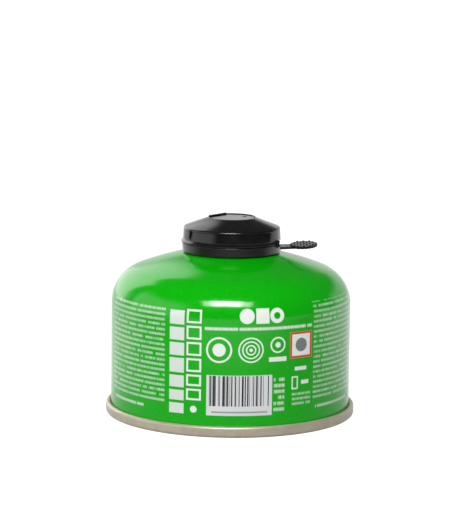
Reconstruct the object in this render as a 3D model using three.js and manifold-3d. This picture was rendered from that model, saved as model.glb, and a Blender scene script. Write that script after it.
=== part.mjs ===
// Gas canister: a green enamelled steel can with a bare double seam round its base, a screw
// valve crimped into its neck, and a moulded cap held on by a tear band with a pull tab.
// Millimetres, +Z up. The origin is the centre of the ring that the canister stands on, and
// the printed front faces -Y. Angles round the cap are degrees from the front towards +X.
import * as THREE from 'three';
import { mergeVertices, toCreasedNormals } from 'three/addons/utils/BufferGeometryUtils.js';
import Module from 'manifold-3d';

// Can wall, shoulder and crown
const wallRadius = 43.2;
const wallTop = 40.3;
const shoulderRadius = 14;
const shoulderSweep = 69;
const crownRadius = 118;

// Double seam and concave base
const seamProud = 1.8;
const seamHeight = 3.95;
const seamDepth = 2.2;
const seamRounding = 1.1;
const standWidth = 0.7;
const seamChamfer = 0.35;
const baseRise = 12;
const baseRadius = 130;
const baseFillet = 1.5;

// Neck of the can, for a one inch valve cup
const openingRadius = 12.7;
const neckWall = 0.5;
const neckRise = 1.8;
const neckFillet = 1;
const beadRadius = 1.4;
const beadLand = 0.9;

// Cup gasket
const gasketWidth = 0.7;
const gasketThickness = 0.3;
const gasketTuck = 0.05;

// Valve cup and its threaded pedestal, 7/16 inch with 28 turns to the inch
const cupSheet = 0.4;
const curlLand = 1;
const curlEnd = -25;
const cupDepth = 6;
const cupCorner = 1;
const pedestalHeight = 10.5;
const pedestalFillet = 0.9;
const threadRadius = 5.556;
const threadPitch = 25.4 / 28;
const threadDepth = 0.55;
const threadStart = 1.4;
const threadEnd = 0.7;
const mouthRadius = 2.2;
const mouthLip = 0.5;
const socketRadius = 1.1;
const socketDepth = 3.6;

// Valve seal, a rubber ring under the lip of the pedestal
const sealRadius = 3.2;
const sealBore = 1.4;
const sealHeight = 1.5;
const sealClearance = 0.2;

// Cap, whose heights are taken from where its ribs rest on the cup, and whose radii grow from its curl
const capRise = 8.05;
const shoulderRise = 4.4;
const flareRise = 0.9;
const lipDrop = 0.35;
const grooveDrop = 0.65;
const grooveHeight = 0.25;
const grooveDepth = 0.9;
const bandHeight = 3.1;
const discRadius = 8.4;
const capWall = 1.3;
const wallDraft = 0.2;
const lipProud = 0.7;
const bandProud = 0.4;
const bandTaper = 0.3;
const edgeRounding = 0.25;
const capClearance = 0.15;
const snapDepth = 0.45;
const snapHeight = 0.6;
const ribCount = 8;
const ribWidth = 0.9;

// Grip panels sunk into the front and back of the cap
const panelDepth = 0.45;
const panelHalfAngle = 57;
const panelTurn = -1.2;
const panelDrop = 0.45;

// Rim round the back right of the top disc, a bar along a chord of its back left, and its gate mark
const rimWidth = 0.4;
const rimHeight = 0.36;
const rimStart = 90;
const barStart = 196;
const barEnd = 268;
const barWidth = 0.5;
const barHeight = 0.52;
const gateRadius = 0.8;
const gateDepth = 0.5;
const gateOffset = 4.9;
const gateAngle = 112;
const gateFlank = 35;

// Notch over the root of the tear band
const notchStart = 61;
const notchTurn = 29;
const notchRise = 0.75;
const notchFall = 1.5;
const notchShelf = 0.6;

// Pull tab, which stands out from the band at +X
const stemWidth = 4.6;
const stemThickness = 0.95;
const stemDrop = 1.6;
const padRadius = 4.95;
const padThickness = 1;
const padReach = 8.2;
const padStep = 0.35;
const padScallops = 22;
const scallopSteps = 3;
const scallopDepth = 0.22;
const tabRise = 3;
const tabTwist = 5;
const studRadius = 0.42;
const studHeight = 0.3;
const studPitch = 2.2;
const studSides = 6;

// Smoothness
const bodySegments = 48;
const boreSegments = 32;
const valveSegments = 24;
const gateSegments = 12;
const rimSteps = 20;
const flareSteps = 3;
const threadRows = 4;
const creaseAngle = 0.6;

// How far a cutter reaches past what it cuts
const overshoot = 2;

const wasm = await Module();
wasm.setup();

// Profiles are lists of points in the plane of radius and height

const radians = THREE.MathUtils.degToRad;
const point = (radius, height) => new THREE.Vector2(radius, height);

function arc(centre, radius, from, to, steps) {
  return Array.from({ length: steps + 1 }, (_, i) => {
    const angle = radians(from + ((to - from) * i) / steps);
    return point(centre.x + radius * Math.cos(angle), centre.y + radius * Math.sin(angle));
  });
}

function outline(...pieces) {
  const points = pieces.flat();
  return points.filter((p, i) => i === 0 || p.distanceTo(points[i - 1]) > 1e-4);
}

const angleOf = (vector) => THREE.MathUtils.radToDeg(vector.angle());

// Solids are made by three.js geometries and joined or cut as manifolds

function solidOf(geometry) {
  const bare = geometry.clone();
  bare.deleteAttribute('normal');
  bare.deleteAttribute('uv');
  const merged = mergeVertices(bare, 1e-4);
  const index = merged.index.array;
  const triangles = [];
  for (let i = 0; i < index.length; i += 3) {
    const corners = index.slice(i, i + 3);
    if (new Set(corners).size === 3) triangles.push(...corners);
  }
  const vertProperties = merged.attributes.position.array;
  const triVerts = new Uint32Array(triangles);
  return new wasm.Manifold(new wasm.Mesh({ numProp: 3, vertProperties, triVerts }));
}

function geometryOf(solid) {
  const { vertProperties, triVerts } = solid.getMesh();
  const geometry = new THREE.BufferGeometry();
  geometry.setAttribute('position', new THREE.BufferAttribute(vertProperties, 3));
  geometry.setIndex(new THREE.BufferAttribute(triVerts, 1));
  return toCreasedNormals(geometry, creaseAngle);
}

function turned(profile, segments) {
  return new THREE.LatheGeometry(profile, segments).rotateX(Math.PI / 2);
}

function prism(points, depth) {
  const options = { depth, bevelEnabled: false, steps: 1 };
  return new THREE.ExtrudeGeometry(new THREE.Shape(points), options);
}

// Can

const seamRadius = wallRadius + seamProud;
const chuckRadius = seamRadius - seamDepth;
const neckRadius = openingRadius + neckWall;
const sweep = radians(shoulderSweep);
const shoulderCentre = point(wallRadius - shoulderRadius, wallTop);
const crownCentre = point(Math.cos(sweep), Math.sin(sweep))
  .multiplyScalar(shoulderRadius - crownRadius)
  .add(shoulderCentre);

function heightOnArc(centre, radius, at) {
  return centre.y + Math.sqrt(radius ** 2 - (at - centre.x) ** 2);
}

const crownHeight = (radius) => heightOnArc(crownCentre, crownRadius, radius);

const beadCentre = point(openingRadius + beadRadius, crownHeight(neckRadius) + neckRise);
const beadTop = heightOnArc(beadCentre, beadRadius, beadCentre.x + beadLand / 2);

function baseProfile() {
  const centre = point(0, baseRise - baseRadius);
  const filletReach = chuckRadius - baseFillet;
  const fillet = point(filletReach, heightOnArc(centre, baseRadius - baseFillet, filletReach));
  const turn = angleOf(fillet.clone().sub(centre));
  return outline(arc(centre, baseRadius, 90, turn, 4), arc(fillet, baseFillet, turn, 0, 2));
}

function seamProfile() {
  const lowerCentre = point(seamRadius - seamRounding, seamRounding);
  const upperCentre = point(seamRadius - seamProud / 2, seamHeight - seamProud / 2);
  return outline(
    point(chuckRadius, seamChamfer),
    point(seamRadius - seamRounding - standWidth, 0),
    arc(lowerCentre, seamRounding, -90, 0, 3),
    arc(upperCentre, seamProud / 2, 0, 180, 5),
  );
}

function domeProfile() {
  const reach = neckRadius + neckFillet;
  const fillet = point(reach, heightOnArc(crownCentre, crownRadius + neckFillet, reach));
  const turn = angleOf(fillet.clone().sub(crownCentre));
  return outline(
    arc(shoulderCentre, shoulderRadius, 0, shoulderSweep, 7),
    arc(crownCentre, crownRadius, shoulderSweep, turn, 4),
    arc(fillet, neckFillet, turn + 180, 180, 2),
  );
}

function neckProfile() {
  const under = -angleOf(point(neckWall - beadRadius, beadNeckReach()));
  const land = angleOf(point(beadLand / 2, beadTop - beadCentre.y));
  return outline(
    arc(beadCentre, beadRadius, under, land, 5),
    arc(beadCentre, beadRadius, 180 - land, 180, 2),
    point(openingRadius, cup.floor),
    point(0, cup.floor),
  );
}

function beadNeckReach() {
  return Math.sqrt(beadRadius ** 2 - (neckWall - beadRadius) ** 2);
}

function makeCanister() {
  const profile = outline(baseProfile(), seamProfile(), domeProfile(), neckProfile());
  return solidOf(turned(profile, bodySegments));
}

// Valve: gasket, cup and seal

const curl = curlSizes();
const cup = {
  top: curl.top,
  floor: curl.top - cupDepth - cupSheet,
  wallRadius: beadCentre.x - curl.inner,
};

function curlSizes() {
  const under = beadTop + gasketThickness;
  const inner = Math.hypot(under - beadCentre.y, gasketWidth / 2 + gasketTuck);
  const outer = inner + cupSheet;
  const top = heightOnArc(beadCentre, outer, beadCentre.x + curlLand / 2);
  const bottom = beadCentre.y + outer * Math.sin(radians(curlEnd));
  return { under, inner, outer, top, bottom, radius: beadCentre.x + outer };
}

function makeGasket() {
  const inside = beadCentre.x - gasketWidth / 2;
  const outside = beadCentre.x + gasketWidth / 2;
  const corners = [
    point(inside, beadTop),
    point(outside, beadTop),
    point(outside, curl.under),
    point(inside, curl.under),
    point(inside, beadTop),
  ];
  return solidOf(turned(corners, valveSegments));
}

function curlProfile() {
  const underLand = angleOf(point(gasketWidth / 2 + gasketTuck, curl.under - beadCentre.y));
  const topLand = angleOf(point(curlLand / 2, curl.top - beadCentre.y));
  return outline(
    arc(beadCentre, curl.inner, 180, 180 - underLand, 2),
    arc(beadCentre, curl.inner, underLand, curlEnd, 3),
    arc(beadCentre, curl.outer, curlEnd, topLand, 4),
    arc(beadCentre, curl.outer, 180 - topLand, 180, 2),
  );
}

const pedestal = {
  foot: cup.floor + cupSheet,
  top: cup.floor + cupSheet + pedestalHeight,
};
const thread = {
  low: pedestal.foot + threadStart,
  high: pedestal.top - threadEnd,
};
const sealFloor = pedestal.top - mouthLip - sealHeight;

function pedestalProfile() {
  const footCentre = point(threadRadius + pedestalFillet, pedestal.foot + pedestalFillet);
  const rows = Math.round(((thread.high - thread.low) / threadPitch) * threadRows);
  const threaded = Array.from({ length: rows + 1 }, (_, i) =>
    point(threadRadius, thread.low + ((thread.high - thread.low) * i) / rows),
  );
  return outline(
    arc(footCentre, pedestalFillet, 270, 180, 2),
    threaded,
    point(threadRadius - threadDepth, pedestal.top),
    point(mouthRadius, pedestal.top),
    point(mouthRadius, pedestal.top - mouthLip),
    point(sealRadius, pedestal.top - mouthLip),
    point(sealRadius, sealFloor),
    point(socketRadius, sealFloor),
    point(socketRadius, pedestal.top - socketDepth),
    point(0, pedestal.top - socketDepth),
  );
}

function cutThread(geometry) {
  const position = geometry.attributes.position;
  const vertex = new THREE.Vector3();
  for (let i = 0; i < position.count; i += 1) {
    vertex.fromBufferAttribute(position, i);
    const reach = Math.hypot(vertex.x, vertex.y);
    const onThread = Math.abs(reach - threadRadius) < 1e-3;
    if (!onThread || vertex.z < thread.low - 1e-3) continue;
    const turns = (vertex.z - thread.low) / threadPitch;
    const share = Math.atan2(vertex.y, vertex.x) / (2 * Math.PI);
    const phase = THREE.MathUtils.euclideanModulo(turns - share, 1);
    const scale = (threadRadius - threadDepth * Math.abs(2 * phase - 1)) / reach;
    position.setXYZ(i, vertex.x * scale, vertex.y * scale, vertex.z);
  }
  return geometry;
}

function makeValveCup() {
  const corner = point(cup.wallRadius - cupCorner, cup.floor + cupCorner);
  const profile = outline(
    point(0, cup.floor),
    arc(corner, cupCorner, -90, 0, 2),
    curlProfile(),
    arc(corner, cupCorner - cupSheet, 0, -90, 2),
    pedestalProfile(),
  );
  return solidOf(cutThread(turned(profile, valveSegments)));
}

function makeSeal() {
  const outside = sealRadius - sealClearance;
  const top = sealFloor + sealHeight - sealClearance;
  const corners = [
    point(sealBore, sealFloor),
    point(outside, sealFloor),
    point(outside, top),
    point(sealBore, top),
    point(sealBore, sealFloor),
  ];
  return solidOf(turned(corners, valveSegments));
}

// Cap

const capBore = curl.radius + capClearance;
const capRadius = capBore + capWall;
const lipRadius = capRadius + lipProud;
const bandTopRadius = capRadius + bandProud;
const bandBottomRadius = bandTopRadius - bandTaper;
const cap = {
  seat: cup.top,
  top: cup.top + capRise,
  shoulder: cup.top + shoulderRise,
  flare: cup.top + flareRise,
  lip: cup.top - lipDrop,
  grooveTop: cup.top - grooveDrop,
  bandTop: cup.top - grooveDrop - grooveHeight,
  bandBottom: cup.top - grooveDrop - grooveHeight - bandHeight,
};

function capOutside() {
  const flareDrop = cap.flare - cap.lip;
  const flareReach = lipRadius - capRadius;
  const flare = Array.from({ length: flareSteps + 1 }, (_, i) => {
    const turn = ((Math.PI / 2) * i) / flareSteps;
    return point(lipRadius - flareReach * Math.sin(turn), cap.flare - flareDrop * Math.cos(turn));
  });
  const grooveFloor = bandTopRadius - grooveDepth;
  return outline(
    point(0, cap.bandBottom),
    point(bandBottomRadius - edgeRounding, cap.bandBottom),
    point(bandBottomRadius, cap.bandBottom + edgeRounding),
    point(bandTopRadius, cap.bandTop - edgeRounding),
    point(bandTopRadius - edgeRounding, cap.bandTop),
    point(grooveFloor, cap.bandTop),
    point(grooveFloor, cap.grooveTop),
    point(lipRadius - edgeRounding / 2, cap.grooveTop),
    flare,
    point(capRadius - wallDraft, cap.shoulder),
    point(capRadius - wallDraft - edgeRounding, cap.shoulder + edgeRounding),
    point(discRadius, cap.top),
    point(0, cap.top),
  );
}

function capInside() {
  const snapTop = curl.bottom - capClearance;
  const snapRadius = capBore - snapDepth;
  const upperBore = capRadius - panelDepth - capWall;
  const ceiling = cap.top - capWall;
  return outline(
    point(0, cap.bandBottom - overshoot),
    point(capBore + snapDepth, cap.bandBottom - overshoot),
    point(capBore + snapDepth, cap.bandBottom),
    point(snapRadius, snapTop - snapHeight),
    point(snapRadius, snapTop - snapDepth / 2),
    point(capBore, snapTop),
    point(capBore, cap.seat + flareRise),
    point(upperBore, cap.seat + flareRise + capWall),
    point(upperBore, cap.shoulder - capWall),
    point(discRadius, ceiling),
    point(0, ceiling),
  );
}

function restRibs() {
  const inner = beadCentre.x - curlLand / 2;
  const outer = capRadius - panelDepth - capWall / 2;
  const height = cap.shoulder - cap.seat;
  const ribs = Array.from({ length: ribCount }, (_, i) => {
    const rib = new THREE.BoxGeometry(outer - inner, ribWidth, height);
    rib.translate((inner + outer) / 2, 0, cap.seat + height / 2);
    return solidOf(rib.rotateZ(radians((360 / ribCount) * (i + 0.5))));
  });
  return ribs.reduce((joined, rib) => joined.add(rib));
}

function gripPanels() {
  const inner = capRadius - panelDepth;
  const outer = bandTopRadius + overshoot;
  const low = cap.flare + panelDepth / 2;
  const high = cap.shoulder - panelDrop;
  const ring = solidOf(turned([
    point(inner, low + panelDepth / 2),
    point(inner + panelDepth, low - panelDepth / 2),
    point(outer, low - panelDepth / 2),
    point(outer, high + panelDepth / 2),
    point(inner + panelDepth, high + panelDepth / 2),
    point(inner, high),
    point(inner, low + panelDepth / 2),
  ], bodySegments));
  const reach = outer * 2;
  const side = radians(panelHalfAngle);
  const wedge = [
    point(0, 0),
    point(-reach * Math.sin(side), -reach * Math.cos(side)),
    point(reach * Math.sin(side), -reach * Math.cos(side)),
  ];
  const sector = (turn) => solidOf(
    prism(wedge, high - low + 2 * overshoot).rotateZ(radians(turn)).translate(0, 0, low - overshoot),
  );
  return ring.intersect(sector(panelTurn).add(sector(panelTurn + 180)));
}

// A place on the top disc, at an angle from the front towards +X
function onDisc(radius, angle) {
  return point(radius * Math.sin(radians(angle)), -radius * Math.cos(radians(angle)));
}

function discRim() {
  const step = (barStart - rimStart) / rimSteps;
  const turns = Array.from({ length: rimSteps + 1 }, (_, i) => rimStart + step * i);
  const outside = turns.map((turn) => onDisc(discRadius, turn));
  const inside = turns.map((turn) => onDisc(discRadius - rimWidth, turn));
  const root = capWall / 2;
  const rim = prism([...outside, ...inside.reverse()], root + rimHeight);
  return solidOf(rim.translate(0, 0, cap.top - root));
}

function chordBar() {
  const start = onDisc(discRadius - rimWidth / 2, barStart);
  const end = onDisc(discRadius - rimWidth / 2, barEnd);
  const middle = start.clone().add(end).multiplyScalar(0.5);
  const root = capWall / 2;
  const bar = new THREE.BoxGeometry(start.distanceTo(end), barWidth, root + barHeight);
  bar.rotateZ(end.clone().sub(start).angle());
  return solidOf(bar.translate(middle.x, middle.y, cap.top + (barHeight - root) / 2));
}

function gateMark() {
  const mark = turned(outline(
    point(0, -gateDepth),
    arc(point(0, 0), gateRadius, -gateFlank, 0, 1),
    point(gateRadius, gateDepth),
    point(0, gateDepth),
  ), gateSegments);
  const place = onDisc(gateOffset, gateAngle);
  return solidOf(mark.translate(place.x, place.y, cap.top));
}

function notchCut() {
  const middle = radians(notchStart + notchTurn / 2);
  const half = bandTopRadius * Math.sin(radians(notchTurn / 2));
  const low = cap.bandTop;
  const high = cap.lip + notchRise;
  const shape = [
    point(-half, low),
    point(half * notchShelf, low - notchFall),
    point(half, low - notchFall),
    point(half, high - notchRise / 2),
    point(half * notchShelf, high),
    point(-half * notchShelf, high),
    point(-half, high - notchRise),
  ];
  const cut = prism(shape, capRadius).rotateX(Math.PI / 2);
  cut.translate(0, overshoot / 2 - capBore, 0);
  return solidOf(cut.rotateZ(middle));
}

function scallopedPad() {
  const count = padScallops * scallopSteps;
  const edge = Array.from({ length: count }, (_, i) => {
    const turn = (2 * Math.PI * i) / count;
    const reach = padRadius - scallopDepth * (0.5 - 0.5 * Math.cos(padScallops * turn));
    return point(reach * Math.cos(turn), reach * Math.sin(turn));
  });
  return solidOf(prism(edge, padThickness).translate(0, 0, padStep - padThickness));
}

function padStuds() {
  const length = padThickness / 2 + studHeight;
  const reach = padRadius - studRadius;
  const rows = Math.ceil(padRadius / studPitch);
  const studs = [];
  for (let row = -rows; row <= rows; row += 1) {
    for (let column = -rows; column <= rows; column += 1) {
      const x = (column + (row % 2 === 0 ? 0 : 0.5)) * studPitch;
      const y = row * studPitch * Math.sin(radians(60));
      if (Math.hypot(x, y) > reach) continue;
      const stud = new THREE.CylinderGeometry(studRadius, studRadius, length, studSides);
      stud.rotateX(Math.PI / 2).translate(x, y, padStep + studHeight - length / 2);
      studs.push(solidOf(stud));
    }
  }
  return studs.reduce((joined, stud) => joined.add(stud));
}

function pullTab() {
  const length = padReach + capWall / 2;
  const rise = length * Math.sin(radians(tabRise));
  const stem = new THREE.BoxGeometry(length, stemWidth, stemThickness);
  stem.translate(-length / 2, 0, -stemThickness / 2);
  const tab = scallopedPad().add(padStuds()).add(solidOf(stem));
  return tab
    .rotate([tabTwist, -tabRise, 0])
    .translate([bandBottomRadius + padReach, 0, cap.bandTop - stemDrop + padStep + rise]);
}

function makeCap() {
  const shell = solidOf(turned(capOutside(), bodySegments));
  const hollow = solidOf(turned(capInside(), boreSegments)).subtract(restRibs());
  return shell
    .subtract(hollow)
    .subtract(gripPanels())
    .subtract(gateMark())
    .subtract(notchCut())
    .add(discRim())
    .add(chordBar())
    .add(pullTab());
}

// Materials

const enamel = new THREE.Color(0x17b81c);
const bareSteel = new THREE.Color(0xb9af9a);
const canSteel = { color: 0xffffff, roughness: 0.25, metalness: 0.2, vertexColors: true };
const tinplate = { color: 0xc4c2ba, roughness: 0.3, metalness: 0.9 };
const gasketRubber = { color: 0x2b2b2b, roughness: 0.8, metalness: 0 };
const sealRubber = { color: 0x161616, roughness: 0.7, metalness: 0 };
const blackPlastic = { color: 0x26272a, roughness: 0.4, metalness: 0 };

// The enamel stops at the seam, where the steel is bare
function paintCan(geometry) {
  const position = geometry.attributes.position;
  const colours = new Float32Array(position.count * 3);
  for (let corner = 0; corner < position.count; corner += 3) {
    const heights = [0, 1, 2].map((i) => position.getZ(corner + i));
    const bare = Math.max(...heights) < Math.max(seamHeight, baseRise) + 0.01;
    const inNeck = Math.min(...heights) > beadCentre.y;
    const colour = bare || inNeck ? bareSteel : enamel;
    for (let i = 0; i < 3; i += 1) colour.toArray(colours, (corner + i) * 3);
  }
  geometry.setAttribute('color', new THREE.BufferAttribute(colours, 3));
  return geometry;
}

function meshOf(name, geometry, look) {
  const mesh = new THREE.Mesh(geometry, new THREE.MeshStandardMaterial(look));
  mesh.name = name;
  return mesh;
}

const canister = new THREE.Group();
canister.add(
  meshOf('canister', paintCan(geometryOf(makeCanister())), canSteel),
  meshOf('cup_gasket', geometryOf(makeGasket()), gasketRubber),
  meshOf('valve_cup', geometryOf(makeValveCup()), tinplate),
  meshOf('valve_seal', geometryOf(makeSeal()), sealRubber),
  meshOf('cap', geometryOf(makeCap()), blackPlastic),
);

export default canister;
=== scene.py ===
"""A green gas canister with a bare-metal seam and a black tear-band cap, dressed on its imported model."""

import math

import bpy
from mathutils import Matrix, Vector


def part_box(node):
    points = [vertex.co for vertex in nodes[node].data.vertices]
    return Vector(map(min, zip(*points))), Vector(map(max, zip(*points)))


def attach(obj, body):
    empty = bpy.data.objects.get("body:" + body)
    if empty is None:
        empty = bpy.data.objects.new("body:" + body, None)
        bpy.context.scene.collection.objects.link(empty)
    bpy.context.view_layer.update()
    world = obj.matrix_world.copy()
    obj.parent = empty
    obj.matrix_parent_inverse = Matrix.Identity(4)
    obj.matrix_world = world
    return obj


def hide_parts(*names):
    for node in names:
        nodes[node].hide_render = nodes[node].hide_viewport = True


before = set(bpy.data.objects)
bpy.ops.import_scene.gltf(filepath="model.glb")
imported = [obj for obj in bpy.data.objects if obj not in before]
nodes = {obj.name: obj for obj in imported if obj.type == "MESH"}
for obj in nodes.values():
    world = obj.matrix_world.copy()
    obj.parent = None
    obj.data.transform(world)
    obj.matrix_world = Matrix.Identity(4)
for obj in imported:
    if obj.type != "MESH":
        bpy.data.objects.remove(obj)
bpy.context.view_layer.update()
MM = 0.001

# Camera, fitted to the photograph: place in millimetres, turns in radians, clips in metres
IMAGE_HEIGHT = 525
FOCAL_PIXELS = 2351.8
SENSOR = 36.0
CAMERA_PLACE = (0.0, -838.469, 186.14)
CAMERA_PITCH = 0.1557
CAMERA_YAW = -0.0015
CAMERA_ROLL = 0.0125
CLIP_START = 0.01
CLIP_END = 30

# Can, in millimetres
WALL_RADIUS = 43.2
WALL_TOP = 40.3
SHOULDER_RADIUS = 14.0
SHOULDER_SWEEP = 69.0
CROWN_RADIUS = 118.0
SEAM_PROUD = 1.8
SEAM_HEIGHT = 3.95
SEAM_DEPTH = 2.2
SEAM_ROUNDING = 1.1
STAND_WIDTH = 0.7
SEAM_CHAMFER = 0.35
BASE_RISE = 12.0
BASE_RADIUS = 130.0
BASE_FILLET = 1.5
NECK_RADIUS = 13.2
NECK_FILLET = 1.0
NECK_RISE = 1.8
OPENING_RADIUS = 12.7
BEAD_RADIUS = 1.4
WELL_FLOOR = 56.66
BEAD_START = -130.0
SEAM_END = 172.0
BARE_NECK_DROP = 3.4
BARE_NECK_WIDTH = 2.5
BARE_BASE_MARGIN = 0.1
BARE_WALL_MARGIN = 0.05

# Cap, in millimetres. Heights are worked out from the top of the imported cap
BAR_HEIGHT = 0.52
DISC_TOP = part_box("cap")[1].z / MM - BAR_HEIGHT
CAP_RISE = 8.05
SEAT = DISC_TOP - CAP_RISE
SHOULDER = SEAT + 4.4
FLARE = SEAT + 0.45
LIP = SEAT - 0.35
GROOVE_TOP = SEAT - 0.65
BAND_TOP = SEAT - 0.9
BAND_BOTTOM = SEAT - 4.1
DISC_RADIUS = 8.4
SHOULDER_TOP_RADIUS = 17.4
CAP_WALL_RADIUS = 17.6
LIP_RADIUS = 18.3
GROOVE_RADIUS = 17.1
BAND_TOP_RADIUS = 18.0
BAND_BOTTOM_RADIUS = 17.7
CAP_BORE = 16.29
LEAST_WALL = 0.15
CAP_EDGE = 0.8
CAP_EDGE_DROP = 0.28
BAND_EDGE = 0.16
DISC_EDGE = 0.1
DISC_EDGE_DROP = 0.05
DISC_FLAT = 0.3
CAP_CEILING = DISC_TOP - 1.3
CEILING_EDGE = SHOULDER - 1.0

# Marks on the cap's disc. Angles on the cap are in degrees from the front towards +X
TOP_SINK = 0.3
RIM_WIDTH = 0.4
RIM_HEIGHT = 0.25
RIM_START = 90.0
RIM_STEPS = 60
BAR_START = 196.0
BAR_END = 268.0
BAR_WIDTH = 0.5
GATE_RADIUS = 0.9
GATE_DEPTH = 0.8
GATE_OFFSET = 4.9
GATE_ANGLE = 112.0
GATE_SECTION = ((1.15, 0.0), (1.0, 0.0), (0.92, 0.1), (0.8, 0.75), (0.6, 1.0))

# Grip panels sunk in the cap, with a slot at the left end of each
PANEL_DEPTH_LOW = 0.0
PANEL_DEPTH_HIGH = 0.6
PANEL_START = -58.2
PANEL_END = 55.8
PANEL_STEP = 0.6
PANEL_SLOPE = 12.0
PANEL_LOW = FLARE + 0.3
PANEL_HIGH = SHOULDER - 0.45
PANEL_LOW_EDGE = 0.15
PANEL_HIGH_EDGE = 0.12
SLOT_START = -60.0
SLOT_END = -56.8
SLOT_DEPTH = 1.0
SLOT_LOW = PANEL_LOW + 0.25

# Notch over the root of the tear band
NOTCH_START = 58.0
NOTCH_END = 104.0
NOTCH_TOP = LIP + 1.15
NOTCH_FOOT = BAND_TOP - 1.5
NOTCH_FALL = 0.42
NOTCH_RUN = 1.3
NOTCH_LAP = 0.1
NOTCH_DEPTH_LOW = 0.9
NOTCH_DEPTH_HIGH = 1.85
NOTCH_EDGE = 0.22
# Where the faces inside the notch take the darker, duller plastic that paints shade there: least depth,
# greatest radius, and margin in degrees past the notch's ends
NOTCH_SHADE_DEPTH = 0.3
NOTCH_SHADE_REACH = GROOVE_RADIUS + 0.3
NOTCH_SHADE_TURN = 1.0

# Pull tab
STEM_WIDTH = 4.6
STEM_THICKNESS = 0.95
STEM_DROP = 1.6
STEM_ROOT = 0.7
STEM_END = 1.0
PAD_RADIUS = 4.95
PAD_THICKNESS = 1.0
PAD_REACH = 8.2
PAD_STEP = 0.35
PAD_EDGE = 0.12
PAD_SCALLOPS = 22
SCALLOP_DEPTH = 0.32
SCALLOP_STEPS = 8
TAB_RISE = 3.0
TAB_HINGE = 0.65
TAB_TWIST = 4.0
STUD_RADIUS = 0.4
STUD_HEIGHT = 0.36
STUD_PITCH = 2.2
STUD_FOOT = 0.2
STUD_STEPS = 6
STUD_SIDES = 20

# Fineness of the meshes, in steps of a curve or degrees
SEGMENTS = 256
BASE_STEPS = 24
FILLET_STEPS = 8
SEAM_STEPS = 12
SHOULDER_STEPS = 28
CROWN_STEPS = 20
NECK_STEPS = 6
BEAD_STEPS = 20
ROUND_STEPS = 5
EDGE_STEPS = 8
FLARE_STEPS = 8
BAND_STEPS = 20
WALL_STEPS = 40
COARSE_TURN = 1.5
FINE_TURN = 0.4
FINE_LEAD = 2.0
FINE_COUNT = 125
PANEL_EDGE_STEPS = 4
LEAST_TURN = 0.05
LEAST_GAP = 0.01
SAME_POINT = 1e-4
ON_AXIS = 1e-6
CAN_SHARP = 35
CAP_SHARP = 30

# Inks and print on the wall. A place is arc length from the front towards +X, then height
SOFT = 0.10
ROW_SOFT = 0.12
LONG_WAVE = 0.55
LONG_STEP = 7.3
LONG_GAPS = (0.33, 0.40)
SHORT_WAVE = 4.2
SHORT_STEP = 3.7
SHORT_GAPS = (0.36, 0.58, 0.35, 1.0)
SHORT_SEED = 5.0
GREEN_LOW = (0.001, 0.345, 0.001, 1)
GREEN_HIGH = (0.002, 0.37, 0.002, 1)
WHITE_INK = (0.72, 0.77, 0.71, 1)
GREY_INK = (0.60, 0.68, 0.61, 1)
BLACK_INK = (0.02, 0.02, 0.022, 1)
RULE_INK = (0.3, 0.3, 0.31, 1)
MARK_INK = (0.18, 0.19, 0.2, 1)
RED_INK = (0.62, 0.05, 0.04, 1)
PANEL_PAPER = (0.63, 0.64, 0.65, 1)

# Rows of small bars: left, right, foot, head, row pitch, seed, weight of a row, strength of the ink
BAR_ROWS = (
    (-55.5, -24.0, 10.6, 44.2, 1.785, 1.0, 0.46, 0.62),
    (-53.4, -33.4, 7.6, 9.6, 1.9, 2.0, 0.5, 0.8),
    (31.8, 59.0, 11.4, 46.0, 1.785, 3.0, 0.46, 0.62),
    (33.0, 55.0, 7.9, 9.7, 1.9, 4.0, 0.5, 0.8),
    (-9.0, 30.8, 37.0, 39.2, 2.2, 9.0, 0.45, 1.0),
    (15.5, 19.6, 8.4, 21.2, 2.1, 12.0, 0.55, 0.8),
    (22.6, 30.6, 10.0, 14.8, 1.7, 14.0, 0.5, 0.6),
)

# White boxes: left, right, foot, head. Frames add the width of their line
WHITE_BOXES = (
    (8.9, 13.6, 39.9, 45.1),
    (13.6, 20.2, 26.4, 28.0),
    (23.6, 28.6, 22.6, 23.9),
    (26.4, 29.6, 17.6, 19.0),
)
WHITE_FRAMES = (
    (-15.5, -10.1, 39.7, 44.4, 0.65),
    (-15.5, -10.1, 34.0, 38.7, 0.65),
    (-15.5, -10.1, 28.3, 33.0, 0.65),
    (-15.5, -10.1, 22.6, 27.3, 0.65),
    (-15.5, -10.1, 17.6, 21.6, 0.65),
    (-15.5, -10.1, 12.6, 16.6, 0.65),
    (22.4, 25.0, 16.0, 20.6, 0.5),
)

# White discs: place and radius. Rings add the width of their line
WHITE_DISCS = (
    (5.7, 42.5, 2.6),
    (-12.8, 9.4, 1.2),
    (-3.9, 30.7, 2.3),
    (7.2, 30.7, 0.6),
    (16.9, 32.2, 1.0),
)
WHITE_RINGS = (
    (16.5, 42.5, 1.9, 1.4),
    (-3.9, 30.7, 4.2, 0.65),
    (7.2, 30.7, 4.2, 0.5),
    (7.2, 30.7, 2.9, 0.45),
    (7.2, 30.7, 1.6, 0.45),
    (16.9, 32.2, 2.55, 0.55),
)

# Solid column up the left of the front: its sides, and the foot and head of each block
COLUMN_SIDES = (-22.0, -16.4)
COLUMN_BLOCKS = (
    (38.9, 43.8),
    (33.4, 37.9),
    (28.0, 32.5),
    (22.0, 27.1),
    (16.8, 21.0),
    (12.2, 15.8),
    (7.6, 11.2),
)

# Striped panel and framed mark
PANEL_BOX = (-8.2, 14.9, 7.6, 21.8)
STRIPE_BOX = (-7.5, 13.9, 10.9, 21.6)
STRIPE_SCALE = 1.9
STRIPE_SEED = 3.3
STRIPE_ROUGH = 0.8
STRIPE_CUT = (0.50, 0.53)
RULE_BOX = (-6.4, 13.2, 8.5, 9.1)
MARK_BOX = (21.6, 30.8, 27.0, 36.2)
MARK_LINE = 0.8
MARK_DISC = (26.2, 31.6, 2.4)
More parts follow.
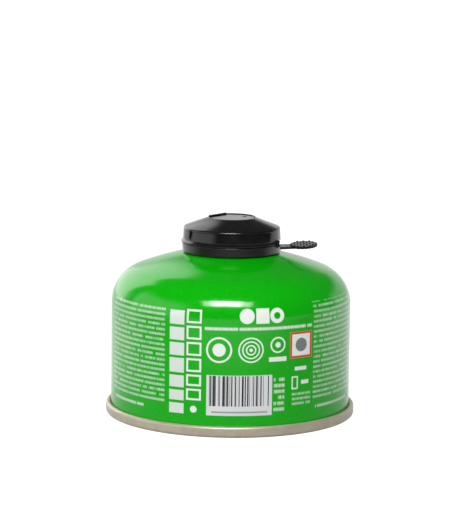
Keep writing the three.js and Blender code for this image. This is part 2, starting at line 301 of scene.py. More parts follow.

# Stage: strength of the floor's light, which the floor glows with as painted light and which is weakest
# next to the can as a painted shadow, and the depths in metres between which it changes
FLOOR_REACH = 7.0
FLOOR_SHADE = (0.15, 0.15, 0.15, 1)
FLOOR_SHADOW_GLOW = 0.12
FLOOR_FRONT = 0.6
FLOOR_BACK = 0.95
FRONT_DEPTHS = (-0.12, -0.24)
BACK_DEPTHS = (-0.08, 0.07)

# Lamps: place and size in metres, power in watts
LAMP_TARGET = (0, 0, 0.04)
KEY_PLACE = (-0.07, -0.82, 0.80)
KEY_SIZE = (0.50, 0.30)
KEY_POWER = 7.5
KEY_EDGE_PLACE = (-0.06, -0.83, 0.81)
KEY_EDGE_SIZE = (0.84, 0.30)
KEY_EDGE_POWER = 7.0

# Room: turns in radians from the front towards +X, heights of a direction of unit length, strengths
AMBIENT = 0.09
BACKDROP_TURNS = (1.95, 2.2)
BACKDROP_FADE = (0.23, 0.42, 0.8, 0.0)
BACK_BOX_LEFT = (-3.02, -2.92)
BACK_BOX_RIGHT = (-2.14, -2.24)
BACK_BOX_TOP = (0.73, 0.66)
BACK_BOX_FADE = (-3.0, -2.3, 1.4, 2.3)
SIDE_BOX_LEFT = (-1.98, -1.88)
SIDE_BOX_RIGHT = (-0.6, -1.0)
SIDE_BOX_FADE = (0.66, 0.42, 0.0, 1.3)


# Points on curves

def arc(centre, radius, start, end, steps):
    turns = [math.radians(start + (end - start) * i / steps) for i in range(steps + 1)]
    return [(centre[0] + radius * math.cos(t), centre[1] + radius * math.sin(t)) for t in turns]


def straight(start, end, steps):
    shares = [i / steps for i in range(steps + 1)]
    return [(start[0] + (end[0] - start[0]) * s, start[1] + (end[1] - start[1]) * s) for s in shares]


def on_arc(centre, radius, at):
    return centre[1] + math.sqrt(radius ** 2 - (at - centre[0]) ** 2)


def turn_to(centre, target):
    return math.degrees(math.atan2(target[1] - centre[1], target[0] - centre[0]))


def outline(*pieces):
    """Joins points and lists of points, and leaves out the points that repeat."""
    points = []
    for piece in pieces:
        for point in piece if isinstance(piece, list) else [piece]:
            if not points or math.dist(point, points[-1]) > SAME_POINT:
                points.append(point)
    return points


def around(angle, radius):
    """The place on the ground at an angle in degrees from the front towards +X."""
    turn = math.radians(angle)
    return (radius * math.sin(turn), -radius * math.cos(turn))


def ease(value, start, end):
    share = clamp((value - start) / (end - start))
    return share * share * (3 - 2 * share)


def clamp(value):
    return min(max(value, 0.0), 1.0)


# Meshes

class Solid:
    """Points and faces that grow by rings, each with the same number of points."""

    def __init__(self, count):
        self.count = count
        self.points = []
        self.faces = []

    def ring(self, points):
        first = len(self.points)
        self.points += points
        return first

    def join(self, low, high):
        for i in range(self.count):
            j = (i + 1) % self.count
            self.faces.append((low + i, low + j, high + j, high + i))

    def close(self, first):
        self.faces.append(tuple(range(first, first + self.count)))

    def close_below(self, first):
        self.faces.append(tuple(reversed(range(first, first + self.count))))

    def stack(self, rings):
        """A closed solid from its rings, bottom first."""
        starts = [self.ring(points) for points in rings]
        for low, high in zip(starts, starts[1:]):
            self.join(low, high)
        self.close_below(starts[0])
        self.close(starts[-1])
        return self

    def moved(self, turn):
        self.points = [tuple(turn @ Vector(point)) for point in self.points]
        return self


def lathe(name, profile):
    """A mesh turned about the upright axis. A point on the axis is a single vertex."""
    verts, rings = [], []
    for radius, height in profile:
        start = len(verts)
        if radius < ON_AXIS:
            rings.append([start] * SEGMENTS)
            verts.append((0.0, 0.0, height * MM))
            continue
        rings.append(list(range(start, start + SEGMENTS)))
        for i in range(SEGMENTS):
            turn = 2 * math.pi * i / SEGMENTS
            verts.append((radius * math.cos(turn) * MM, radius * math.sin(turn) * MM, height * MM))
    faces = []
    for low, high in zip(rings, rings[1:]):
        for i in range(SEGMENTS):
            j = (i + 1) % SEGMENTS
            corners = [low[i], low[j], high[j], high[i]]
            faces.append([c for k, c in enumerate(corners) if c not in corners[:k]])
    return add_mesh(name, verts, faces, CAN_SHARP)


def add_mesh(name, verts, faces, sharp):
    mesh = bpy.data.meshes.new(name)
    mesh.from_pydata(verts, [], faces)
    mesh.validate()
    mesh.shade_smooth()
    mesh.set_sharp_from_angle(angle=math.radians(sharp))
    return add_object(name, mesh)


def add_object(name, data):
    piece = bpy.data.objects.new(name, data)
    bpy.context.scene.collection.objects.link(piece)
    return piece


# Shader graphs

class Graph:
    """A material whose nodes are made by short calls. A value is a number, a colour or a socket."""

    def __init__(self, name):
        self.material = bpy.data.materials.new(name)
        self.material.use_nodes = True
        self.tree = self.material.node_tree
        self.shader = self.tree.nodes["Principled BSDF"]
        self.coordinates = self.tree.nodes.new("ShaderNodeTexCoord").outputs["Object"]

    def link(self, value, socket):
        if isinstance(value, (int, float, tuple)):
            socket.default_value = value
        else:
            self.tree.links.new(value, socket)

    def math(self, operation, *values):
        node = self.tree.nodes.new("ShaderNodeMath")
        node.operation = operation
        for value, socket in zip(values, node.inputs):
            self.link(value, socket)
        return node.outputs[0]

    def add(self, a, b):
        return self.math("ADD", a, b)

    def sub(self, a, b):
        return self.math("SUBTRACT", a, b)

    def mul(self, a, b):
        return self.math("MULTIPLY", a, b)

    def high(self, a, b):
        return self.math("MAXIMUM", a, b)

    def size(self, a):
        return self.math("ABSOLUTE", a)

    def square(self, a):
        return self.math("POWER", a, 2.0)

    def blend(self, a, share, b, other_share):
        return self.add(self.mul(a, share), self.mul(b, other_share))

    def ramp(self, value, start, end, low=0.0, high=1.0):
        node = self.tree.nodes.new("ShaderNodeMapRange")
        node.interpolation_type = "SMOOTHSTEP"
        self.link(value, node.inputs["Value"])
        self.link(start, node.inputs["From Min"])
        self.link(end, node.inputs["From Max"])
        self.link(low, node.inputs["To Min"])
        self.link(high, node.inputs["To Max"])
        return node.outputs[0]

    def noise(self, scale, detail=2.0, vector=None, rough=0.5, stretch=None):
        node = self.tree.nodes.new("ShaderNodeTexNoise")
        vector = vector or self.coordinates
        if stretch:
            vector = self.mapped(vector, stretch)
        self.link(vector, node.inputs["Vector"])
        self.link(scale, node.inputs["Scale"])
        self.link(detail, node.inputs["Detail"])
        self.link(rough, node.inputs["Roughness"])
        return node.outputs["Fac"]

    def mapped(self, vector, scale):
        node = self.tree.nodes.new("ShaderNodeMapping")
        self.link(vector, node.inputs["Vector"])
        node.inputs["Scale"].default_value = scale
        return node.outputs[0]

    def joined(self, x, y, z=0.0):
        node = self.tree.nodes.new("ShaderNodeCombineXYZ")
        for value, socket in zip((x, y, z), node.inputs):
            self.link(value, socket)
        return node.outputs[0]

    def parts(self, vector):
        node = self.tree.nodes.new("ShaderNodeSeparateXYZ")
        self.link(vector, node.inputs[0])
        return node.outputs[:3]

    def turn_from_front(self, x, y):
        return self.math("ARCTAN2", x, self.mul(y, -1.0))

    def mix(self, amount, a, b):
        node = self.tree.nodes.new("ShaderNodeMix")
        node.data_type = "RGBA"
        self.link(amount, node.inputs["Factor"])
        self.link(a, node.inputs[6])
        self.link(b, node.inputs[7])
        return node.outputs[2]

    def bump(self, height, distance, strength):
        node = self.tree.nodes.new("ShaderNodeBump")
        self.link(height, node.inputs["Height"])
        node.inputs["Distance"].default_value = distance
        node.inputs["Strength"].default_value = strength
        self.tree.links.new(node.outputs[0], self.shader.inputs["Normal"])

    def set(self, **values):
        for key, value in values.items():
            self.link(value, self.shader.inputs[key.replace("_", " ")])


class Room(Graph):
    """The same calls for the light of the world, by direction."""

    def __init__(self, tree):
        self.tree = tree
        self.direction = tree.nodes.new("ShaderNodeTexCoord").outputs["Generated"]


class Sheet:
    """The unrolled wall of the can, on which marks are drawn as masks."""

    def __init__(self, graph):
        self.g = graph
        x, y, z = graph.parts(graph.coordinates)
        self.u = graph.mul(graph.turn_from_front(x, y), WALL_RADIUS)
        self.v = graph.mul(z, 1 / MM)

    def inside(self, distance):
        return self.g.ramp(distance, SOFT, -SOFT)

    def box_distance(self, left, right, foot, head):
        g = self.g
        across = g.sub(g.size(g.sub(self.u, (left + right) / 2)), (right - left) / 2)
        up = g.sub(g.size(g.sub(self.v, (foot + head) / 2)), (head - foot) / 2)
        return g.high(across, up)

    def box(self, *sides):
        return self.inside(self.box_distance(*sides))

    def frame(self, left, right, foot, head, line):
        g = self.g
        middle = g.add(self.box_distance(left, right, foot, head), line / 2)
        return self.inside(g.sub(g.size(middle), line / 2))

    def centre_distance(self, u, v):
        g = self.g
        return g.math("SQRT", g.add(g.square(g.sub(self.u, u)), g.square(g.sub(self.v, v))))

    def disc(self, u, v, radius):
        return self.inside(self.g.sub(self.centre_distance(u, v), radius))

    def ring(self, u, v, radius, line):
        g = self.g
        middle = g.sub(self.centre_distance(u, v), radius)
        return self.inside(g.sub(g.size(middle), line / 2))

    def rows(self, left, right, foot, head, pitch, seed, weight, strength):
        """Rows of short bars of uneven lengths."""
        g = self.g
        row = g.math("DIVIDE", g.sub(self.v, foot), pitch)
        number = g.math("FLOOR", row)
        off_row = g.size(g.sub(g.math("FRACT", row), 0.5))
        bar = g.ramp(off_row, weight / 2 + ROW_SOFT, weight / 2 - ROW_SOFT)
        long_wave = g.joined(g.mul(self.u, LONG_WAVE), g.mul(number, LONG_STEP), seed)
        short_wave = g.joined(g.mul(self.u, SHORT_WAVE), g.mul(number, SHORT_STEP), seed + SHORT_SEED)
        breaks = g.ramp(g.noise(1.0, 1.0, long_wave), *LONG_GAPS)
        grain = g.ramp(g.noise(1.0, 1.0, short_wave), *SHORT_GAPS)
        ink = g.mul(g.mul(bar, g.mul(breaks, grain)), strength)
        return g.mul(ink, self.box(left, right, foot, head))

    def stripes(self, sides, scale, seed):
        """Upright stripes of uneven widths."""
        g = self.g
        wave = g.noise(1.0, 2.0, g.joined(g.mul(self.u, scale), seed), STRIPE_ROUGH)
        return g.mul(g.ramp(wave, *STRIPE_CUT), self.box(*sides))

    def union(self, masks):
        total = masks[0]
        for mask in masks[1:]:
            total = self.g.high(total, mask)
        return total


# Materials

def white_marks(sheet):
    masks = [sheet.rows(*block) for block in BAR_ROWS]
    masks += [sheet.box(*sides) for sides in WHITE_BOXES]
    masks += [sheet.frame(*sides) for sides in WHITE_FRAMES]
    masks += [sheet.disc(*mark) for mark in WHITE_DISCS]
    masks += [sheet.ring(*mark) for mark in WHITE_RINGS]
    return sheet.union(masks)


def printed(g, colour):
    """The colour of the wall with its print laid over it, field by field."""
    sheet = Sheet(g)
    column = sheet.union([sheet.box(*COLUMN_SIDES, *block) for block in COLUMN_BLOCKS])
    layers = (
        (white_marks(sheet), WHITE_INK),
        (column, GREY_INK),
        (sheet.box(*PANEL_BOX), PANEL_PAPER),
        (sheet.stripes(STRIPE_BOX, STRIPE_SCALE, STRIPE_SEED), BLACK_INK),
        (sheet.box(*RULE_BOX), RULE_INK),
        (sheet.box(*MARK_BOX), WHITE_INK),
        (sheet.frame(*MARK_BOX, MARK_LINE), RED_INK),
        (sheet.disc(*MARK_DISC), MARK_INK),
    )
    for mask, ink in layers:
        colour = g.mix(mask, colour, ink)
    return colour


def enamel():
    g = Graph("enamel")
    mottle = g.noise(900.0, 3.0)
    ripple = g.noise(160.0)
    green = g.mix(g.ramp(mottle, 0.3, 0.7), GREEN_LOW, GREEN_HIGH)
    g.set(Base_Color=printed(g, green), Roughness=g.ramp(mottle, 0.2, 0.8, 0.10, 0.15), IOR=1.5)
    g.bump(g.blend(ripple, 0.6, mottle, 0.05), 0.00002, 0.35)
    return g.material


def bare_steel():
    g = Graph("bare_steel")
    rings = g.noise(1.0, 3.0, stretch=(120.0, 120.0, 9000.0))
    stain = g.noise(420.0, 4.0)
    fine = g.noise(3000.0)
    colour = g.mix(g.ramp(stain, 0.35, 0.65), (0.458, 0.409, 0.316, 1), (0.507, 0.453, 0.355, 1))
    colour = g.mix(g.ramp(rings, 0.55, 0.75, 0.0, 0.35), colour, (0.39, 0.346, 0.268, 1))
    g.set(Base_Color=colour, Metallic=0.4, Roughness=g.ramp(fine, 0.2, 0.8, 0.32, 0.40))
    g.bump(g.blend(rings, 0.7, fine, 0.3), 0.00003, 0.4)
    return g.material


def black_plastic():
    g = Graph("cap_plastic")
    grain = g.noise(5200.0, 3.0)
    cloud = g.noise(260.0, 3.0)
    dark = (0.0035, 0.0035, 0.0037, 1)
    light = (0.006, 0.006, 0.0063, 1)
    roughness = g.ramp(g.blend(cloud, 0.6, grain, 0.4), 0.3, 0.7, 0.12, 0.18)
    g.set(Base_Color=g.mix(g.ramp(cloud, 0.3, 0.7), dark, light), Roughness=roughness, IOR=1.46)
    g.bump(g.blend(grain, 0.5, cloud, 0.5), 0.00003, 0.35)
    return g.material


def notch_shade_plastic():
    """The faces inside the notch: a rougher, slightly darker and less glossy copy of the cap plastic,
    which paints shade into the notch.
    """
    g = Graph("cap_plastic_notch_shade")
    grain = g.noise(2600.0, 4.0)
    colour = g.mix(g.ramp(grain, 0.3, 0.7), (0.003, 0.003, 0.003, 1), (0.006, 0.006, 0.006, 1))
    g.set(Base_Color=colour, Roughness=g.ramp(grain, 0.2, 0.8, 0.7, 0.85), IOR=1.3)
    g.bump(grain, 0.00004, 0.5)
    return g.material


def tinplate():
    g = Graph("tinplate")
    scratches = g.noise(1.0, 3.0, stretch=(700.0, 700.0, 12000.0))
    fine = g.noise(2500.0, 3.0)
    colour = g.mix(g.ramp(scratches, 0.4, 0.7), (0.66, 0.65, 0.61, 1), (0.5, 0.49, 0.45, 1))
    g.set(Base_Color=colour, Metallic=1.0, Roughness=g.ramp(fine, 0.2, 0.8, 0.22, 0.38))
    g.bump(scratches, 0.00002, 0.3)
    return g.material


def rubber(name, shade):
    g = Graph(name)
    grain = g.noise(4000.0, 3.0)
    light = shade * 1.6
    colour = g.mix(g.ramp(grain, 0.3, 0.7), (shade, shade, shade, 1), (light, light, light, 1))
    g.set(Base_Color=colour, Roughness=g.ramp(grain, 0.2, 0.8, 0.65, 0.85))
    g.bump(grain, 0.00003, 0.4)
    return g.material


# Can, from profiles of radius and height

def crown_centre():
    sweep = math.radians(SHOULDER_SWEEP)
    reach = SHOULDER_RADIUS - CROWN_RADIUS
    return (WALL_RADIUS - SHOULDER_RADIUS + reach * math.cos(sweep), WALL_TOP + reach * math.sin(sweep))


def base_profile():
    seam_radius = WALL_RADIUS + SEAM_PROUD
    chuck = seam_radius - SEAM_DEPTH
    centre = (0.0, BASE_RISE - BASE_RADIUS)
    reach = chuck - BASE_FILLET
    fillet = (reach, on_arc(centre, BASE_RADIUS - BASE_FILLET, reach))
    turn = turn_to(centre, fillet)
    lower = (seam_radius - SEAM_ROUNDING, SEAM_ROUNDING)
    upper = (seam_radius - SEAM_PROUD / 2, SEAM_HEIGHT - SEAM_PROUD / 2)
    return outline(
        arc(centre, BASE_RADIUS, 90, turn, BASE_STEPS),
        arc(fillet, BASE_FILLET, turn, 0, FILLET_STEPS),
        (chuck, SEAM_CHAMFER),
        (seam_radius - SEAM_ROUNDING - STAND_WIDTH, 0.0),
        arc(lower, SEAM_ROUNDING, -90, 0, FILLET_STEPS),
        arc(upper, SEAM_PROUD / 2, 0, SEAM_END, SEAM_STEPS),
    )


def shell_profile():
    shoulder = (WALL_RADIUS - SHOULDER_RADIUS, WALL_TOP)
    crown = crown_centre()
    reach = NECK_RADIUS + NECK_FILLET
    fillet = (reach, on_arc(crown, CROWN_RADIUS + NECK_FILLET, reach))
    turn = turn_to(crown, fillet)
    bead = (OPENING_RADIUS + BEAD_RADIUS, on_arc(crown, CROWN_RADIUS, NECK_RADIUS) + NECK_RISE)
    return outline(
        (WALL_RADIUS, SEAM_HEIGHT - SEAM_PROUD / 2),
        arc(shoulder, SHOULDER_RADIUS, 0, SHOULDER_SWEEP, SHOULDER_STEPS),
        arc(crown, CROWN_RADIUS, SHOULDER_SWEEP, turn, CROWN_STEPS),
        arc(fillet, NECK_FILLET, turn + 180, 180, NECK_STEPS),
        arc(bead, BEAD_RADIUS, BEAD_START, 180, BEAD_STEPS),
        (OPENING_RADIUS, WELL_FLOOR),
        (0.0, WELL_FLOOR),
    )


def is_bare(centre, neck):
    """True on the seam, under the base and on the neck, which aren't enamelled."""
    radius = math.hypot(centre.x, centre.y) / MM
    height = centre.z / MM
    seam = height < SEAM_HEIGHT and radius > WALL_RADIUS + LEAST_GAP
    under = height < BASE_RISE + BARE_BASE_MARGIN and radius < WALL_RADIUS - BARE_WALL_MARGIN
    return seam or under or (height > neck and radius < NECK_RADIUS + BARE_NECK_WIDTH)


def make_can():
    can = lathe("can", outline(base_profile(), shell_profile()))
    can.data.materials.append(enamel())
    can.data.materials.append(bare_steel())
    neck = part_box("canister")[1].z / MM - BARE_NECK_DROP
    for face in can.data.polygons:
        face.material_index = 1 if is_bare(face.center, neck) else 0
    declare(can, "enamelled_steel", "canister")


# Cap's shell, a lathe whose radius is eased in where the panels and the notch are sunk

def softened(centre, start, end):
    return arc(centre, BAND_EDGE, start, end, ROUND_STEPS)


def cap_profile():
    slope = math.degrees(math.atan2(DISC_TOP - SHOULDER, SHOULDER_TOP_RADIUS - DISC_RADIUS))
    edge_centre = (SHOULDER_TOP_RADIUS - CAP_EDGE, SHOULDER - CAP_EDGE_DROP)
    band_top = (BAND_TOP_RADIUS - BAND_EDGE, BAND_TOP - BAND_EDGE)
    band_bottom = (BAND_BOTTOM_RADIUS - BAND_EDGE, BAND_BOTTOM + BAND_EDGE)
    lip = (LIP_RADIUS - BAND_EDGE, GROOVE_TOP + BAND_EDGE)
    band_low, band_high = (BAND_BOTTOM_RADIUS, band_bottom[1]), (BAND_TOP_RADIUS, band_top[1])
    flare_top = (CAP_WALL_RADIUS, FLARE)
    return outline(
        (CAP_BORE, BAND_BOTTOM),
        softened(band_bottom, -90, 0),
        straight(band_low, band_high, BAND_STEPS),
        softened(band_top, 0, 90),
        (GROOVE_RADIUS, BAND_TOP),
        (GROOVE_RADIUS, GROOVE_TOP),
        softened(lip, -90, 0),
        straight((LIP_RADIUS, LIP), flare_top, FLARE_STEPS),
        straight(flare_top, (SHOULDER_TOP_RADIUS, edge_centre[1]), WALL_STEPS),
        arc(edge_centre, CAP_EDGE, 0, 90 - slope, EDGE_STEPS),
        (DISC_RADIUS + DISC_EDGE, DISC_TOP - DISC_EDGE_DROP),
        (DISC_RADIUS - DISC_EDGE, DISC_TOP),
        (DISC_RADIUS - DISC_FLAT, DISC_TOP),
    )


def cap_angles():
    """Coarse turns, with finer ones at the notch and at the ends of the panels and slots."""
    turns = [COARSE_TURN * i for i in range(round(360 / COARSE_TURN))]
    turns += [NOTCH_START - FINE_LEAD + FINE_TURN * i for i in range(FINE_COUNT)]
    shifts = [PANEL_STEP * (i / PANEL_EDGE_STEPS - 0.5) for i in range(PANEL_EDGE_STEPS + 1)]
    for edge in (PANEL_START, SLOT_START, SLOT_END):
        turns += [edge + side + shift for side in (0, 180) for shift in shifts]
    turns = sorted({round(turn % 360, 3) for turn in turns})
    following = turns[1:] + [turns[0] + 360]
    return [turn for turn, after in zip(turns, following) if after - turn > LEAST_TURN]


def between(height, low, high):
    up = ease(height, low - PANEL_LOW_EDGE, low + PANEL_LOW_EDGE)
    return up * (1 - ease(height, high - PANEL_HIGH_EDGE, high + PANEL_HIGH_EDGE))


def panel_depth(angle, height):
    turn = (angle - PANEL_START + PANEL_STEP) % 180 - PANEL_STEP
    length = PANEL_END - PANEL_START
    across = ease(turn, -PANEL_STEP / 2, PANEL_STEP / 2)
    across *= 1 - ease(turn, length - PANEL_SLOPE, length)
    share = clamp((height - PANEL_LOW) / (PANEL_HIGH - PANEL_LOW))
    depth = PANEL_DEPTH_LOW + (PANEL_DEPTH_HIGH - PANEL_DEPTH_LOW) * share
    return depth * across * between(height, PANEL_LOW, PANEL_HIGH)


def slot_depth(angle, height):
    turn = (angle - SLOT_START + 90) % 180 - 90
    middle = (SLOT_END - SLOT_START) / 2
    across = 1 - ease(abs(turn - middle), middle - PANEL_STEP / 2, middle + PANEL_STEP / 2)
    return SLOT_DEPTH * across * between(height, SLOT_LOW, PANEL_HIGH)


def notch_depth(angle, height):
    along = math.radians(angle - NOTCH_START) * BAND_TOP_RADIUS
    length = math.radians(NOTCH_END - NOTCH_START) * BAND_TOP_RADIUS
    foot = max(BAND_TOP - NOTCH_LAP - along * NOTCH_FALL, NOTCH_FOOT)
    crown = LIP - NOTCH_LAP + min(along, NOTCH_RUN) * (NOTCH_TOP - LIP) / NOTCH_RUN
    inside = min(along, length - along, crown - height, height - foot)
    share = clamp((height - foot) / (NOTCH_TOP - foot))
    depth = NOTCH_DEPTH_LOW + (NOTCH_DEPTH_HIGH - NOTCH_DEPTH_LOW) * share
    return depth * ease(inside, -NOTCH_EDGE / 2, NOTCH_EDGE / 2)


def sunk_radius(radius, height, angle):
    if radius < GROOVE_RADIUS - LEAST_GAP or height >= SHOULDER:
        return radius
    sunk = radius - max(panel_depth(angle, height), slot_depth(angle, height))
    return min(sunk, max(sunk - notch_depth(angle, height), CAP_BORE + LEAST_WALL))


def cap_ring(radius, height, angles):
    return [(*around(angle, sunk_radius(radius, height, angle)), height) for angle in angles]


def cap_shell():
    """The outside from the band up, the bore and ceiling inside, and the disc with its gate mark."""
    angles = cap_angles()
    shell = Solid(len(angles))
    outside = [shell.ring(cap_ring(radius, height, angles)) for radius, height in cap_profile()]
    for low, high in zip(outside, outside[1:]):
        shell.join(low, high)
    edge = shell.ring([(*around(angle, CAP_BORE), CEILING_EDGE) for angle in angles])
    ceiling = shell.ring([(*around(angle, DISC_RADIUS), CAP_CEILING) for angle in angles])
    shell.join(edge, outside[0])
    shell.join(ceiling, edge)
    shell.close_below(ceiling)
    add_gate(shell, outside[-1], angles)
    return shell


def add_gate(shell, first, angles):
    """Closes the top with the flat disc, which has a dished gate mark in it."""
    gate_x, gate_y = around(GATE_ANGLE, GATE_OFFSET)
    low = first
    for share, depth in GATE_SECTION:
        places = [around(angle, GATE_RADIUS * share) for angle in angles]
        height = DISC_TOP - GATE_DEPTH * depth
        high = shell.ring([(gate_x + x, gate_y + y, height) for x, y in places])
        shell.join(low, high)
        low = high
    shell.close(low)


# Cap's disc marks and pull tab

def prism(edge_points, low, high, ease_width=0.0):
    """An upright prism, whose top and bottom edges may be eased by a small inset."""
    count = len(edge_points)
    cx = sum(x for x, y in edge_points) / count
    cy = sum(y for x, y in edge_points) / count
    inset = 1 - ease_width / max(math.dist(point, (cx, cy)) for point in edge_points)
    levels = [(low, 1.0), (high, 1.0)]
    if ease_width:
        levels = [(low, inset), (low + ease_width, 1.0), (high - ease_width, 1.0), (high, inset)]
    return Solid(count).stack([
        [(cx + (x - cx) * share, cy + (y - cy) * share, height) for x, y in edge_points]
        for height, share in levels
    ])


def disc_rim():
    turns = [RIM_START + (BAR_START - RIM_START) * i / RIM_STEPS for i in range(RIM_STEPS + 1)]
    outside = [around(turn, DISC_RADIUS) for turn in turns]
    inside = [around(turn, DISC_RADIUS - RIM_WIDTH) for turn in reversed(turns)]
    return prism(outside + inside, DISC_TOP - TOP_SINK, DISC_TOP + RIM_HEIGHT)


def chord_bar():
    start = Vector(around(BAR_START, DISC_RADIUS - RIM_WIDTH / 2))
    end = Vector(around(BAR_END, DISC_RADIUS - RIM_WIDTH / 2))
    side = (end - start).normalized().orthogonal() * BAR_WIDTH / 2
    corners = [tuple(start + side), tuple(end + side), tuple(end - side), tuple(start - side)]
    if (end - start).cross(side) > 0:
        corners.reverse()
    return prism(corners, DISC_TOP - TOP_SINK, DISC_TOP + BAR_HEIGHT)


def tab_pad():
    count = PAD_SCALLOPS * SCALLOP_STEPS
    edge = []
    for i in range(count):
        turn = 2 * math.pi * i / count
        reach = PAD_RADIUS - SCALLOP_DEPTH * (0.5 - 0.5 * math.cos(PAD_SCALLOPS * turn)) ** 2
        edge.append((reach * math.cos(turn), reach * math.sin(turn)))
    return prism(edge, PAD_STEP - PAD_THICKNESS, PAD_STEP, PAD_EDGE)


def tab_stem():
    root = -(PAD_REACH + STEM_ROOT)
    half = STEM_WIDTH / 2
    corners = [(root, -half), (-STEM_END, -half), (-STEM_END, half), (root, half)]
    return prism(corners, -STEM_THICKNESS, 0.0, PAD_EDGE)


def stud(x, y):
    section = [(STUD_RADIUS, PAD_STEP - STUD_FOOT)]
    for k in range(STUD_STEPS):
        rise = math.pi / 2 * k / STUD_STEPS
        section.append((STUD_RADIUS * math.cos(rise), PAD_STEP + STUD_HEIGHT * math.sin(rise)))
    turns = [2 * math.pi * i / STUD_SIDES for i in range(STUD_SIDES)]
    return Solid(STUD_SIDES).stack([
        [(x + reach * math.cos(turn), y + reach * math.sin(turn), height) for turn in turns]
        for reach, height in section
    ])


def tab_studs():
    studs = []
    rows = math.ceil(PAD_RADIUS / STUD_PITCH)
    for row in range(-rows, rows + 1):
        for column in range(-rows, rows + 1):
            x = (column + row % 2 / 2) * STUD_PITCH
            y = row * STUD_PITCH * math.sin(math.radians(60))
            if math.hypot(x, y) <= PAD_RADIUS - STUD_RADIUS:
                studs.append(stud(x, y))
    return studs


def tab_place():
    """Where the tab's own frame, with its origin at the middle of the pad, goes on the cap."""
    rise = math.radians(TAB_RISE)
    lift = (PAD_REACH + TAB_HINGE) * math.sin(rise)
    height = BAND_TOP - STEM_DROP + PAD_STEP + lift
    place = Matrix.Translation((BAND_BOTTOM_RADIUS + PAD_REACH, 0, height))
    twist = Matrix.Rotation(math.radians(TAB_TWIST), 4, "X")
    return place @ Matrix.Rotation(-rise, 4, "Y") @ twist


def is_in_notch(centre):
    x, y, height = centre / MM
    angle = math.degrees(math.atan2(x, -y))
    low = BAND_BOTTOM < height < NOTCH_TOP + NOTCH_EDGE
    along = NOTCH_START - NOTCH_SHADE_TURN < angle < NOTCH_END + NOTCH_SHADE_TURN
    deep = math.hypot(x, y) < NOTCH_SHADE_REACH
    return low and along and deep and notch_depth(angle, height) > NOTCH_SHADE_DEPTH


def make_cap():
    place = tab_place()
    tab = [piece.moved(place) for piece in (tab_pad(), tab_stem(), *tab_studs())]
    verts, faces = [], []
    for solid in (cap_shell(), disc_rim(), chord_bar(), *tab):
        base = len(verts)
        verts += [tuple(c * MM for c in point) for point in solid.points]
        faces += [tuple(base + i for i in face) for face in solid.faces]
    cap = add_mesh("cap_moulding", verts, faces, CAP_SHARP)
    cap.data.materials.append(black_plastic())
    cap.data.materials.append(notch_shade_plastic())
    # Faces deep in the notch take the darker, duller plastic: painted shade
    for face in cap.data.polygons:
        face.material_index = 1 if is_in_notch(face.center) else 0
    declare(cap, "cap_plastic", "cap")


# Pieces on the frame

def declare(piece, slot, *replaced):
    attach(piece, "root")
    if replaced:
        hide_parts(*replaced)


def dress_cad_nodes():
    looks = {
        "valve_cup": tinplate(),
        "cup_gasket": rubber("gasket_rubber", 0.02),
        "valve_seal": rubber("seal_rubber", 0.012),
    }
    for name, material in looks.items():
        mesh = nodes[name].data
        mesh.materials.clear()
        mesh.materials.append(material)


# Stage

def make_floor():
    """White paper that glows, a painted light: plain white to the camera, brightest behind the can, dimmer
    far in front, and darker beside the can as a painted shadow.
    """
    mesh = bpy.data.meshes.new("floor")
    corners = [(x * FLOOR_REACH, y * FLOOR_REACH, 0) for x, y in ((-1, -1), (1, -1), (1, 1), (-1, 1))]
    mesh.from_pydata(corners, [], [(0, 1, 2, 3)])
    floor = add_object("floor", mesh)
    g = Graph("floor_paper")
    depth = g.parts(g.coordinates)[1]
    behind = g.ramp(depth, *BACK_DEPTHS, FLOOR_SHADOW_GLOW, FLOOR_BACK)
    before = g.ramp(depth, *FRONT_DEPTHS, FLOOR_SHADOW_GLOW, FLOOR_FRONT)
    seen = g.tree.nodes.new("ShaderNodeLightPath").outputs["Is Camera Ray"]
    g.set(Base_Color=FLOOR_SHADE, Roughness=0.8)
    # The floor's glow is painted light, and its dip next to the can is a painted shadow
    g.set(Emission_Color=(1, 1, 1, 1), Emission_Strength=g.high(g.high(behind, before), seen))
    mesh.materials.append(g.material)


def area_light(name, place, size, power):
    data = bpy.data.lights.new(name, "AREA")
    data.shape = "RECTANGLE"
    data.size, data.size_y = size
    data.energy = power
    lamp = add_object(name, data)
    lamp.location = place
    lamp.rotation_euler = (Vector(LAMP_TARGET) - Vector(place)).to_track_quat("-Z", "Y").to_euler()


def make_lights():
    area_light("key", KEY_PLACE, KEY_SIZE, KEY_POWER)
    area_light("key_edge", KEY_EDGE_PLACE, KEY_EDGE_SIZE, KEY_EDGE_POWER)


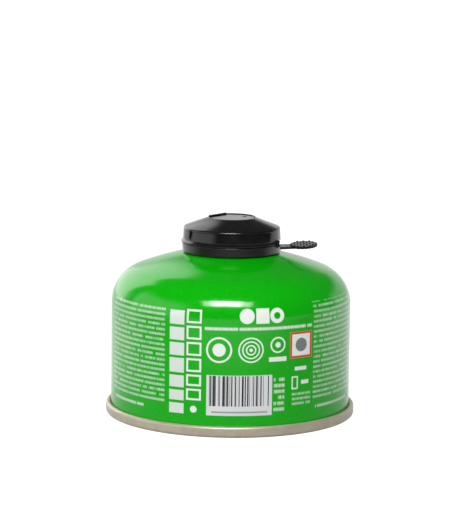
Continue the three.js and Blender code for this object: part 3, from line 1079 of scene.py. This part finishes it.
def back_box(g, turn, height):
    across = g.mul(g.ramp(turn, *BACK_BOX_LEFT), g.ramp(turn, *BACK_BOX_RIGHT))
    shape = g.mul(across, g.ramp(height, *BACK_BOX_TOP))
    return g.mul(shape, g.ramp(turn, *BACK_BOX_FADE))


def side_box(g, turn, height):
    across = g.mul(g.ramp(turn, *SIDE_BOX_LEFT), g.ramp(turn, *SIDE_BOX_RIGHT))
    return g.mul(across, g.ramp(height, *SIDE_BOX_FADE))


def make_world():
    """A dark room with a low white backdrop, a tall soft box behind on the left and one on the left."""
    world = bpy.data.worlds.new("studio")
    bpy.context.scene.world = world
    world.use_nodes = True
    g = Room(world.node_tree)
    x, y, height = g.parts(g.direction)
    turn = g.turn_from_front(x, y)
    backdrop = g.mul(g.ramp(g.size(turn), *BACKDROP_TURNS), g.ramp(height, *BACKDROP_FADE))
    boxes = g.high(back_box(g, turn, height), side_box(g, turn, height))
    background = world.node_tree.nodes["Background"]
    background.inputs["Color"].default_value = (1, 1, 1, 1)
    g.link(g.add(g.high(backdrop, boxes), AMBIENT), background.inputs["Strength"])


def camera_turn():
    """The camera's rotation, from its pitch, yaw and roll."""
    level_share = math.cos(CAMERA_PITCH)
    ahead = Vector((
        math.sin(CAMERA_YAW) * level_share,
        math.cos(CAMERA_YAW) * level_share,
        -math.sin(CAMERA_PITCH),
    ))
    level = ahead.cross(Vector((0, 0, 1))).normalized()
    above = level.cross(ahead)
    right = level * math.cos(CAMERA_ROLL) + above * math.sin(CAMERA_ROLL)
    up = above * math.cos(CAMERA_ROLL) - level * math.sin(CAMERA_ROLL)
    return Matrix((right, up, -ahead)).transposed().to_4x4()


def make_camera():
    data = bpy.data.cameras.new("camera")
    data.sensor_width = SENSOR
    data.lens = FOCAL_PIXELS * SENSOR / IMAGE_HEIGHT
    data.clip_start = CLIP_START
    data.clip_end = CLIP_END
    camera = add_object("camera", data)
    camera.matrix_world = Matrix.Translation(Vector(CAMERA_PLACE) * MM) @ camera_turn()
    bpy.context.scene.camera = camera


make_can()
make_cap()
dress_cad_nodes()
make_floor()
make_lights()
make_world()
make_camera()
bpy.context.scene.view_settings.view_transform = "Standard"
